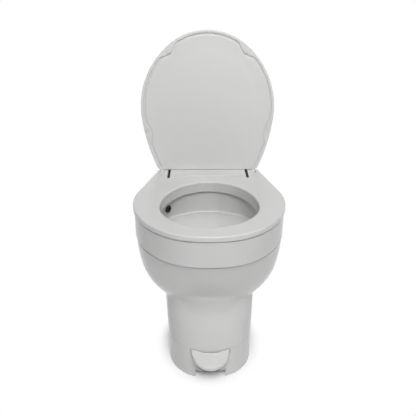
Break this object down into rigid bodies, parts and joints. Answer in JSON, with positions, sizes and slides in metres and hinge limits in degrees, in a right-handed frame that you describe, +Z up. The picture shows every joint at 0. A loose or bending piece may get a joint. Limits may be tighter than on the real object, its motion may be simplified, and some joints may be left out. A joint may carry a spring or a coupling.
{
  "type": "rv toilet",
  "caption": "Caravan toilet with a rounded bowl on a pedestal, open lid, hinged seat and a front foot pedal that turns a ball valve and opens the rinse water.",
  "frame": {"origin": "on the floor at the axis of the drain outlet, at the outlet's lower end", "axes": "+Z up, -Y towards the front where the pedal is, +X to the right of someone looking at the front"},
  "size_m": [0.3844, 0.4964, 0.7926],
  "materials": {
    "casing": "smooth moulded gloss",
    "seat_plastic": "smooth moulded gloss",
    "bowl_plastic": "smooth moulded gloss",
    "pedal_plastic": "smooth moulded gloss",
    "soft_white": "soft matte",
    "seal_rubber": "matte",
    "mechanism_plastic": "matte",
    "gear_plastic": "matte",
    "steel": "satin",
    "hose_rubber": "matte",
    "valve_plastic": "matte"
  },
  "bodies": {
    "toilet_body": {"hinge_block": "casing", "hinge_pins": "seat_plastic", "hinge_spacers": "seat_plastic", "hinge_screws": "steel", "bowl_rim": "casing", "bowl_shell": "casing", "bowl_basin": "bowl_plastic", "pedestal_column": "casing", "pedestal_plinth": "casing", "throat_seal": "seal_rubber", "valve_housing": "mechanism_plastic", "shaft_bushings": "gear_plastic", "clamp_half_left": "steel", "clamp_half_right": "steel", "clamp_screws": "steel", "outlet_spigot": "mechanism_plastic", "outlet_screws": "steel", "floor_seal": "seal_rubber", "shaft_brackets": "mechanism_plastic", "pedal_bushings": "gear_plastic", "spring_cup": "mechanism_plastic", "return_spring": "steel", "water_valve": "valve_plastic", "inlet_grommet": "seal_rubber", "lower_hose": "hose_rubber", "upper_hose": "hose_rubber", "hose_clamps": "steel", "breaker_body": "valve_plastic", "breaker_cap": "valve_plastic", "spray_nozzle": "gear_plastic"},
    "seat": {"seat_ring": "seat_plastic", "seat_bumpers": "soft_white"},
    "lid": {"lid_shell": "seat_plastic", "lid_liner": "seat_plastic", "lid_bumpers": "soft_white"},
    "pedal": {"pedal_shaft": "steel", "gear_sector": "gear_plastic", "pedal_arm": "pedal_plastic", "pedal_tread": "pedal_plastic", "shaft_clips": "steel", "spring_lever": "gear_plastic"},
    "ball": {"flush_ball": "bowl_plastic", "ball_drive_shaft": "steel", "ball_idle_shaft": "steel", "drive_pinion": "gear_plastic", "water_cam": "gear_plastic"},
    "plunger": {"valve_plunger": "gear_plastic"},
    "vent_float": {"breaker_float": "gear_plastic"},
    "swivel_nut": {"inlet_nut": "valve_plastic"}
  },
  "joints": [
    {"name": "seat_hinge", "type": "hinge", "parent": "toilet_body", "child": "seat", "pos_m": [0, 0.229, 0.4], "axis": [-1, 0, 0], "range_deg": [0, 95]},
    {"name": "lid_hinge", "type": "hinge", "parent": "toilet_body", "child": "lid", "pos_m": [0, 0.229, 0.4], "axis": [-1, 0, 0], "range_deg": [-97, 0]},
    {"name": "pedal_pivot", "type": "hinge", "parent": "toilet_body", "child": "pedal", "pos_m": [0, -0.08, 0.049], "axis": [1, 0, 0], "range_deg": [0, 22.5], "deforming": ["return_spring"]},
    {"name": "ball_turn", "type": "hinge", "parent": "toilet_body", "child": "ball", "pos_m": [0, 0, 0.109], "axis": [1, 0, 0], "range_deg": [-90, 0]},
    {"name": "plunger_slide", "type": "slide", "parent": "toilet_body", "child": "plunger", "axis": [0, 1, 0], "range_m": [0, 0.0096]},
    {"name": "float_slide", "type": "slide", "parent": "toilet_body", "child": "vent_float", "axis": [0, 0, 1], "range_m": [0, 0.006]},
    {"name": "inlet_swivel", "type": "hinge", "parent": "toilet_body", "child": "swivel_nut", "pos_m": [-0.0775, 0.139, 0.109], "axis": [0, 1, 0], "continuous": true}
  ],
  "couplings": [
    {"joint": "ball_turn", "follows": "pedal_pivot", "ratio": -4},
    {"joint": "plunger_slide", "follows": "pedal_pivot", "m_per_rad": 0.024446}
  ]
}
